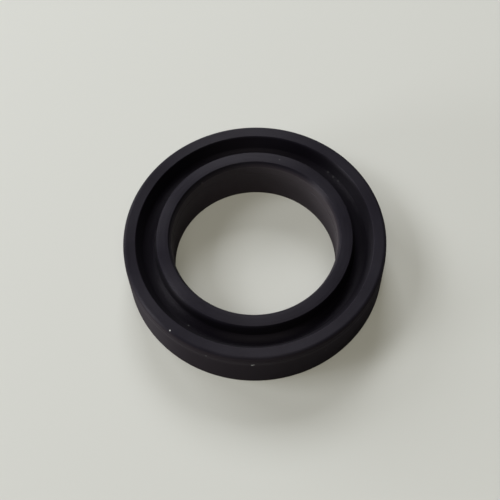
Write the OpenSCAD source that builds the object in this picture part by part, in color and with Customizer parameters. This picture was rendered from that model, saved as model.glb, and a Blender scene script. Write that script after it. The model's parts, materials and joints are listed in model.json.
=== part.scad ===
// Transmission oil seal: a U-ring moulded in one piece of black rubber.
// It stands on its flat heel, with the groove and the two lips facing up.
// The origin is the centre of the heel face, and Z runs along the shaft.

/* [Ring] */
// Diameter of the outer wall, which presses into the housing
outer_diameter = 22; // [21.4:0.1:30]
// Diameter of the bore, which grips the shaft
bore_diameter = 13.9; // [6:0.1:14.4]

/* [Inner lip] */
// Height of the inner lip above the heel face
inner_lip_height = 4.9; // [4.2:0.05:7]
// Width of the inner lip at its tip, from the bore to the groove
inner_lip_tip = 1.2; // [0.8:0.05:1.4]
// Width of the inner lip at the foot of its groove wall
inner_lip_foot = 1.45; // [1.3:0.05:1.7]
// Radial width of the bevel that leads from the inner lip's tip to the bore
bevel_width = 0.25; // [0.1:0.05:0.7]
// Height of that bevel
bevel_height = 0.5; // [0.1:0.05:1.5]

/* [Outer lip] */
// Height of the outer lip above the heel face
outer_lip_height = 4.7; // [4.2:0.05:6]
// Width of the outer lip at its tip, from the groove to the outer wall
outer_lip_tip = 1.05; // [0.7:0.05:1.5]
// Width of the outer lip at the foot of its groove wall
outer_lip_foot = 1.6; // [1.2:0.05:1.85]
// Radius of the outer lip's outside edge
outer_lip_edge = 0.3; // [0.1:0.05:0.6]

/* [Groove and heel] */
// Height of the feet of the groove's two walls above the heel face
groove_wall_foot = 3.65; // [2:0.05:3.95]
// Depth of the groove's dished floor below the feet of its walls, limited by the floor's width
groove_dish = 0.2; // [0.05:0.05:0.4]
// Radius of the heel's outside edge
heel_outer_edge = 0.1; // [0.05:0.05:1]
// Radius of the heel's edge at the bore
heel_bore_edge = 0.1; // [0.05:0.05:1]

/* [Hidden] */
$fn = 180;

outer_radius = outer_diameter / 2;
bore_radius = bore_diameter / 2;

// How far each groove wall runs outwards or inwards for a height of one
inner_slope = (inner_lip_foot - inner_lip_tip) / (inner_lip_height - groove_wall_foot);
outer_slope = (outer_lip_foot - outer_lip_tip) / (outer_lip_height - groove_wall_foot);

// The floor is an arc through the feet of both walls, flatter there than the wall that leans the most
floor_start = bore_radius + inner_lip_foot;
floor_end = outer_radius - outer_lip_foot;
floor_middle = (floor_start + floor_end) / 2;
half_floor = (floor_end - floor_start) / 2;
lean = atan(max(inner_slope, outer_slope));
deepest_dish = 0.9 * half_floor * tan(45 - lean / 2);
dish = min(groove_dish, deepest_dish);
floor_radius = (half_floor ^ 2 + dish ^ 2) / (2 * dish);
floor_centre = groove_wall_foot - dish + floor_radius;

// The space between the walls is drawn from below the dish to above the lips
space_low = groove_wall_foot - 1.5 * dish;
space_high = max(inner_lip_height, outer_lip_height) + outer_lip_edge;

// Radius of each groove wall at a height
function inner_wall(z) = floor_start + inner_slope * (groove_wall_foot - z);
function outer_wall(z) = floor_end - outer_slope * (groove_wall_foot - z);

// The corner at [r, z] outside the arc that rounds it; into gives the signs of the way into the rubber
module corner_waste(r, z, into, radius) {
    centre = [r + into[0] * radius, z + into[1] * radius];
    difference() {
        translate([min(r, centre[0]), min(z, centre[1])]) square(radius);
        translate(centre) circle(radius);
    }
}

// The two lips and the heel as one solid block of section, before the groove is cut
module blank_section() {
    polygon([
        [bore_radius, 0],
        [outer_radius, 0],
        [outer_radius, outer_lip_height],
        [floor_middle, outer_lip_height],
        [floor_middle, inner_lip_height],
        [bore_radius + bevel_width, inner_lip_height],
        [bore_radius, inner_lip_height - bevel_height],
    ]);
}

// The groove: the space between its two walls, as far down as the dished floor
module groove_section() {
    above_foot = groove_wall_foot + dish / 8;
    intersection() {
        polygon([
            [inner_wall(space_low), space_low],
            [outer_wall(space_low), space_low],
            [outer_wall(space_high), space_high],
            [inner_wall(space_high), space_high],
        ]);
        union() {
            translate([floor_middle, floor_centre]) circle(floor_radius);
            translate([bore_radius, above_foot]) square([outer_radius - bore_radius, space_high]);
        }
    }
}

module seal_ring() {
    color([0.13, 0.13, 0.14]) rotate_extrude() difference() {
        blank_section();
        groove_section();
        corner_waste(outer_radius, outer_lip_height, [-1, -1], outer_lip_edge);
        corner_waste(outer_radius, 0, [-1, 1], heel_outer_edge);
        corner_waste(bore_radius, 0, [1, 1], heel_bore_edge);
    }
}

seal_ring();
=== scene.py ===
"""Transmission oil seal: a U-ring moulded in one piece of black rubber, on its heel on a pale floor."""
import json

import bpy
import numpy as np
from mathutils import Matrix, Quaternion, Vector


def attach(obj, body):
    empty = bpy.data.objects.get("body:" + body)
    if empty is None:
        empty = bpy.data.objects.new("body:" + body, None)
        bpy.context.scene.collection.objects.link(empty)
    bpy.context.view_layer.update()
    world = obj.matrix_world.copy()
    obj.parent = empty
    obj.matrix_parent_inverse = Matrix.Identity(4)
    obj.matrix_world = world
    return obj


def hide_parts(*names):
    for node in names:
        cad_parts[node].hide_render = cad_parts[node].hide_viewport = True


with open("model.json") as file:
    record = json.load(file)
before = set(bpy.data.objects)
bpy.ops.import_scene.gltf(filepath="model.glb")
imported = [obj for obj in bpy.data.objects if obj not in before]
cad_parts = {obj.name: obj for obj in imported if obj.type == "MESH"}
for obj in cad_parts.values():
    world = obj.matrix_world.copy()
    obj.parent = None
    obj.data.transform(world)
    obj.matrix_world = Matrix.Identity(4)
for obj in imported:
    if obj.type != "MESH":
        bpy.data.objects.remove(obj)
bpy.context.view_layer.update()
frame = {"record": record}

# Seal ring
# The whole seal: one ring of black nitrile rubber, pressed in a two-part mould and trimmed by hand.
# Its section is a heel with two lips and a dished groove between them, carried once round the shaft's axis.
MM = 0.001
mounts = {mount["name"]: mount["dims"] for mount in frame["record"]["mounts"]}
outer_radius = mounts["housing_seat"]["r_mm"] - 0.004
bore_radius = mounts["shaft_bore"]["r_mm"]
inner_lip_height = 4.9
outer_lip_height = 4.7
groove_in = bore_radius + 1.2      # the groove's edge on the inner lip
groove_out = outer_radius - 1.05   # the groove's edge on the outer lip
foot_in = bore_radius + 1.45       # the foot of the inner lip's groove wall
foot_out = outer_radius - 1.6      # the foot of the outer lip's groove wall
foot_height = 3.65
dish_depth = 0.2
lip_bore = bore_radius + 0.015     # the mould's lip half is a little slacker than its heel half,
lip_wall = outer_radius - 0.025    # which leaves a fine ledge in the bore and on the outer wall
bore_ledge = 3.34
wall_ledge = 3.97

half_floor = (foot_out - foot_in) / 2
dish_radius = (half_floor ** 2 + dish_depth ** 2) / (2 * dish_depth)
dish_apex = foot_height - half_floor * np.tan(np.arcsin(half_floor / dish_radius))
section_corners = [  # radius, height and edge radius of each corner, anticlockwise from the heel's bore edge
    (bore_radius, 0.0, 0.1),
    (outer_radius, 0.0, 0.1),
    (outer_radius, wall_ledge, 0.02),
    (lip_wall, wall_ledge + 0.02, 0.02),
    (lip_wall, outer_lip_height, 0.3),
    (groove_out, outer_lip_height - 0.015, 0.03),
    (foot_out, foot_height, 0.03),
    ((foot_in + foot_out) / 2, dish_apex, dish_radius * 0.95),
    (foot_in, foot_height, 0.03),
    (groove_in, inner_lip_height - 0.073, 0.03),
    (groove_in - 0.25, inner_lip_height - 0.033, 1.2),
    (groove_in - 0.67, inner_lip_height, 1.2),
    (bore_radius + 0.25, inner_lip_height - 0.008, 0.04),
    (lip_bore, inner_lip_height - 0.5, 0.1),
    (lip_bore, bore_ledge + 0.02, 0.015),
    (bore_radius, bore_ledge, 0.015),
]


def rounded_section(corners, arc_step, side_step):
    """Outline through the corners with each corner replaced by an arc that touches both of its sides.
    An arc starts at radius * tan(half the turn) before its corner, and the sides between arcs are straight,
    with a point close to each of their ends, which keeps the shading of the arcs off the sides."""
    point = np.array([c[:2] for c in corners])
    radius = np.array([c[2] for c in corners])
    ahead = np.roll(point, -1, 0) - point
    ahead /= np.linalg.norm(ahead, axis=1, keepdims=True)
    behind = np.roll(ahead, 1, 0)
    turn = np.arctan2(behind[:, 0] * ahead[:, 1] - behind[:, 1] * ahead[:, 0], (behind * ahead).sum(1))
    reach = radius * np.tan(np.abs(turn) / 2)
    normal = np.stack([-behind[:, 1], behind[:, 0]], 1) * np.sign(turn)[:, None]
    start = point - behind * reach[:, None]
    end = point + ahead * reach[:, None]
    outline = []
    for k in range(len(corners)):
        steps = int(np.clip(np.ceil(radius[k] * abs(turn[k]) / arc_step), 3, 14))
        bend = np.linspace(0, 1, steps + 1)[:, None] * abs(turn[k])
        outline.append(start[k] + radius[k] * (np.sin(bend) * behind[k] + (1 - np.cos(bend)) * normal[k]))
        side = start[(k + 1) % len(corners)] - end[k]
        length = np.linalg.norm(side)
        hold = min(0.015 / length, 0.2)
        share = np.linspace(0, 1, max(2, round(length / side_step)) + 1)
        share[[0, -1]] = hold, 1 - hold
        outline.append(end[k] + side * share[:, None])
    return np.concatenate(outline)


def turned_surface(name, section, turns):
    """Closed surface of revolution: the section's points turned to each of the equal steps round Z.
    A small burr pushes the inner lip's groove edge outwards by a bell curve round one angle."""
    burr_angle, burr_spread, burr_size = 0.305, 0.012, 0.07
    angle = np.linspace(0, 2 * np.pi, turns, endpoint=False)[:, None]
    r, z = section[:, 0], section[:, 1]
    edge = np.exp(-((r - groove_in) / 0.08) ** 2 - ((z - inner_lip_height + 0.08) / 0.1) ** 2)
    r = r + burr_size * edge * np.exp(-((angle - burr_angle) / burr_spread) ** 2)
    points = np.stack([r * np.cos(angle), r * np.sin(angle), z + 0 * angle], -1) * MM
    here = np.arange(turns * len(section)).reshape(turns, len(section))
    on, up = np.roll(here, -1, 0), np.roll(here, -1, 1)
    faces = np.stack([here, on, np.roll(on, -1, 1), up], -1).reshape(-1, 4)
    mesh = bpy.data.meshes.new(name)
    mesh.vertices.add(here.size)
    mesh.vertices.foreach_set("co", points.ravel())
    mesh.loops.add(faces.size)
    mesh.loops.foreach_set("vertex_index", faces.ravel())
    mesh.polygons.add(len(faces))
    mesh.polygons.foreach_set("loop_start", np.arange(0, faces.size, 4))
    mesh.polygons.foreach_set("use_smooth", np.ones(len(faces), bool))
    mesh.update(calc_edges=True)
    ring = bpy.data.objects.new(name, mesh)
    bpy.context.scene.collection.objects.link(ring)
    return ring


section = rounded_section(section_corners, arc_step=0.05, side_step=0.3)
ring = turned_surface("moulded_ring", section, turns=560)

rubber = bpy.data.materials.new("black_rubber")
rubber.use_nodes = True
nodes, links = rubber.node_tree.nodes, rubber.node_tree.links
skin = nodes["Principled BSDF"]


def wire(kind, *inputs, output=0, **settings):
    """Adds a node to the tree that nodes and links stand for, and returns one of its outputs.
    Its inputs take, in order, a value or another node's output."""
    made = nodes.new(kind)
    for key, value in settings.items():
        setattr(made, key, value)
    for socket, value in zip(made.inputs, inputs):
        if isinstance(value, bpy.types.NodeSocket):
            links.new(value, socket)
        elif value is not None:
            socket.default_value = value
    return made.outputs[output]


def math(operation, *inputs):
    """One arithmetic node."""
    return wire("ShaderNodeMath", *inputs, operation=operation)


def ramp(value, low, high, to_low=0.0, to_high=1.0):
    """Carries a value smoothly from one range to another."""
    return wire("ShaderNodeMapRange", value, low, high, to_low, to_high,
                interpolation_type="SMOOTHSTEP")


def blend(share, first, second):
    """Mixes two colours by a share."""
    unused = [None] * 5      # the node's inputs for numbers and vectors
    return wire("ShaderNodeMix", share, *unused, first, second, output=2, data_type="RGBA")


def object_place():
    """The place on the object itself, in metres."""
    return wire("ShaderNodeTexCoord", output=3)


place = wire("ShaderNodeVectorMath", object_place(), None, None, 1 / MM, operation="SCALE")   # millimetres
apart = nodes.new("ShaderNodeSeparateXYZ")
links.new(place, apart.inputs[0])
x, y, z = apart.outputs
reach = math("SQRT", math("ADD", math("MULTIPLY", x, x), math("MULTIPLY", y, y)))
turn = math("ARCTAN2", y, x)
around = wire("ShaderNodeCombineXYZ", reach, z, math("MULTIPLY", turn, 0.6))

# Slow changes of tone in the rubber, the blasted finish of the mould, and its turning marks round the ring
cloud = wire("ShaderNodeTexNoise", place, None, 0.45, 3.0, 0.55)
grain = wire("ShaderNodeTexNoise", place, None, 11.0, 2.0, 0.6)
lines = wire("ShaderNodeTexNoise", around, None, 7.0, 2.0, 0.5)

# Share of each side of the ring, 0 to 1, by the distance from the axis and the height
outside = ramp(reach, 10.85, 10.95)
in_bore = ramp(reach, 7.15, 7.0)
off_lands = math("MAXIMUM", in_bore, ramp(reach, 10.6, 10.75))
on_top = math("MULTIPLY", ramp(z, 4.5, 4.65), math("SUBTRACT", 1.0, off_lands))
groove_middle = 9.05
from_middle = math("ABSOLUTE", math("SUBTRACT", reach, groove_middle))
painted_groove_shade = math("MULTIPLY", ramp(from_middle, 0.95, 0.8), math("SUBTRACT", 1.0, on_top))
band_height = 3.8                     # painted highlight: the wall is painted paler in a band under the outer lip, where its fine ledge catches the light
from_band = math("ABSOLUTE", math("SUBTRACT", z, band_height))
painted_ledge_highlight = math("MULTIPLY", outside, ramp(from_band, 0.45, 0.1))
bore_reflection_share = ramp(z, 4.35, 4.5, 0.8, 0.35)   # painted reflection: the bore's paler colour, standing in for the lit floor it mirrors, fades out on the bevel

tone = ramp(math("ADD", math("MULTIPLY", cloud, 0.7), math("MULTIPLY", lines, 0.3)), 0.3, 0.7)
colour = blend(tone, (0.0080, 0.0068, 0.0104, 1), (0.0114, 0.0100, 0.0146, 1))
colour = blend(math("MULTIPLY", outside, 0.8), colour, (0.0215, 0.0165, 0.0195, 1))
# Painted highlight: a paler band on the outer wall, standing in for the light its fine ledge catches
colour = blend(math("MULTIPLY", painted_ledge_highlight, 0.35), colour, (0.0480, 0.0430, 0.0460, 1))
# Painted reflection: the bore is coloured paler, standing in for the lit floor that it mirrors
colour = blend(math("MULTIPLY", in_bore, bore_reflection_share), colour, (0.0620, 0.0510, 0.0560, 1))
# Painted shade: the groove between the lips is coloured darker, for the shade that falls into it
colour = blend(math("MULTIPLY", painted_groove_shade, 0.8), colour, (0.0022, 0.0015, 0.0034, 1))

dust = None
for spot, size, strength in [  # place and radius in millimetres, and strength, of each speck of white dust
    ((-7.00, -8.17, 4.65), 0.09, 0.9),
    ((-0.56, -10.99, 3.62), 0.12, 0.9),
    ((-0.42, -10.99, 3.70), 0.09, 0.7),
    ((-5.60, -7.30, 3.51), 0.09, 0.14),
    ((-4.19, -10.17, 3.93), 0.09, 0.2),
    ((5.43, -9.56, 2.76), 0.08, 0.12),
    ((-4.33, 5.50, 4.45), 0.10, 0.12),
    ((2.40, 7.31, 4.88), 0.07, 0.1),
    ((6.60, 6.64, 3.62), 0.15, 0.04),   # the last three are faint scuffs at the groove's outer foot
    ((7.00, 6.15, 3.62), 0.15, 0.04),
    ((7.41, 5.71, 3.62), 0.15, 0.03),
]:
    away = wire("ShaderNodeVectorMath", place, spot, operation="DISTANCE", output=1)
    dot = ramp(away, size, 0.4 * size, 0.0, strength)
    dust = dot if dust is None else math("MAXIMUM", dust, dot)
colour = blend(dust, colour, (0.55, 0.55, 0.53, 1))
links.new(colour, skin.inputs["Base Color"])

# The wall is the dullest side, the bore is smoothest near its lip, and the finish is drawn out round the ring
rough = math("MULTIPLY_ADD", on_top, -0.02, 0.38)
rough = math("MULTIPLY_ADD", outside, 0.24, rough)
rough = math("ADD", rough, math("MULTIPLY", in_bore, ramp(z, 0.3, 3.6, 0.12, -0.12)))
rough = math("ADD", rough, math("ADD", math("MULTIPLY", lines, 0.10), math("MULTIPLY", grain, 0.06)))
links.new(rough, skin.inputs["Roughness"])
skin.inputs["Specular IOR Level"].default_value = 0.14
skin.inputs["Specular Tint"].default_value = (1.0, 0.93, 1.0, 1)
skin.inputs["Anisotropic"].default_value = 0.9
skin.inputs["Anisotropic Rotation"].default_value = 0.25
links.new(wire("ShaderNodeTangent", direction_type="RADIAL", axis="Z"), skin.inputs["Tangent"])

height = math("ADD", math("MULTIPLY", grain, 0.5), lines)
bump = nodes.new("ShaderNodeBump")
bump.inputs["Strength"].default_value = 0.5
bump.inputs["Distance"].default_value = 0.012 * MM
links.new(height, bump.inputs["Height"])
links.new(bump.outputs["Normal"], skin.inputs["Normal"])
ring.data.materials.append(rubber)
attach(ring, "root")
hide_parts("seal_ring")

# Floor
# A plain pale sheet under the ring, wide enough to fill every view. For the camera alone it has a pale glow
# of its own, stronger far from the lamps, which keeps its shadows soft and puts no light on the ring.
FLOOR_HALF = 2.0
floor_mesh = bpy.data.meshes.new("floor")
floor_mesh.from_pydata([(-FLOOR_HALF, -FLOOR_HALF, 0), (FLOOR_HALF, -FLOOR_HALF, 0),
                        (FLOOR_HALF, FLOOR_HALF, 0), (-FLOOR_HALF, FLOOR_HALF, 0)], [], [(0, 1, 2, 3)])
floor = bpy.data.objects.new("floor", floor_mesh)
bpy.context.scene.collection.objects.link(floor)
pale = bpy.data.materials.new("pale_floor")
pale.use_nodes = True
sheet = pale.node_tree.nodes["Principled BSDF"]
sheet.inputs["Base Color"].default_value = (0.485, 0.49, 0.475, 1)
sheet.inputs["Roughness"].default_value = 0.9
sheet.inputs["Emission Color"].default_value = (0.13, 0.125, 0.095, 1)
nodes, links = pale.node_tree.nodes, pale.node_tree.links
far = wire("ShaderNodeVectorMath", object_place(), operation="LENGTH", output=1)
seen_by_camera = wire("ShaderNodeLightPath")
glow = math("MULTIPLY", seen_by_camera, ramp(far, 0.06, 0.5, 1.0, 3.2))
links.new(glow, sheet.inputs["Emission Strength"])
floor.data.materials.append(pale)

# Light
# A warm soft box over the front, daylight from the back and the left, and a little even light from the room,
# whose walls look pale to the camera.
world = bpy.data.worlds.new("room")
world.use_nodes = True
nodes, links = world.node_tree.nodes, world.node_tree.links
room = nodes["Background"]
room.inputs["Color"].default_value = (1.0, 0.97, 0.92, 1)
seen_by_camera = wire("ShaderNodeLightPath")
links.new(ramp(seen_by_camera, 0.0, 1.0, 0.03, 0.6), room.inputs["Strength"])
bpy.context.scene.world = world


def soft_lamp(name, azimuth, elevation, size, power, colour):
    """A square area lamp half a metre from the ring and facing it, at an azimuth and elevation in degrees."""
    distance = 0.5
    a, e = np.radians((azimuth, elevation))
    light = bpy.data.lights.new(name, "AREA")
    light.size = size
    light.energy = power
    light.color = colour
    lamp = bpy.data.objects.new(name, light)
    lamp.location = Vector((np.cos(e) * np.cos(a), np.cos(e) * np.sin(a), np.sin(e))) * distance
    lamp.rotation_mode = "QUATERNION"
    lamp.rotation_quaternion = (-lamp.location).to_track_quat("-Z", "Y")
    bpy.context.scene.collection.objects.link(lamp)


WARM, DAYLIGHT = (1.0, 0.95, 0.86), (0.96, 0.98, 1.0)
soft_lamp("overhead", 270, 70, 0.3, 0.5, WARM)
soft_lamp("back", 94, 42, 0.2, 1.25, DAYLIGHT)
soft_lamp("window", 177, 46, 0.18, 1.0, DAYLIGHT)
soft_lamp("window_low", 138, 25, 0.22, 1.1, DAYLIGHT)
soft_lamp("sill", 195, 8, 0.15, 1.3, DAYLIGHT)

# Camera
# Close above the near side, aimed at the lips, and turned a little about its own axis.
camera_data = bpy.data.cameras.new("camera")
camera_data.lens = 75
camera_data.sensor_width = 36
camera_data.clip_start = 0.005
camera = bpy.data.objects.new("camera", camera_data)
camera.location = Vector((0, -40.516, 81.322)) * MM
aim = Vector((-0.41012, -1.13913, 4.47666)) * MM
ROLL = -2.6198
camera.rotation_mode = "QUATERNION"
facing = (aim - camera.location).to_track_quat("-Z", "Y")
camera.rotation_quaternion = facing @ Quaternion((0, 0, 1), np.radians(ROLL))
bpy.context.scene.collection.objects.link(camera)
bpy.context.scene.camera = camera
bpy.context.scene.view_settings.view_transform = "Standard"
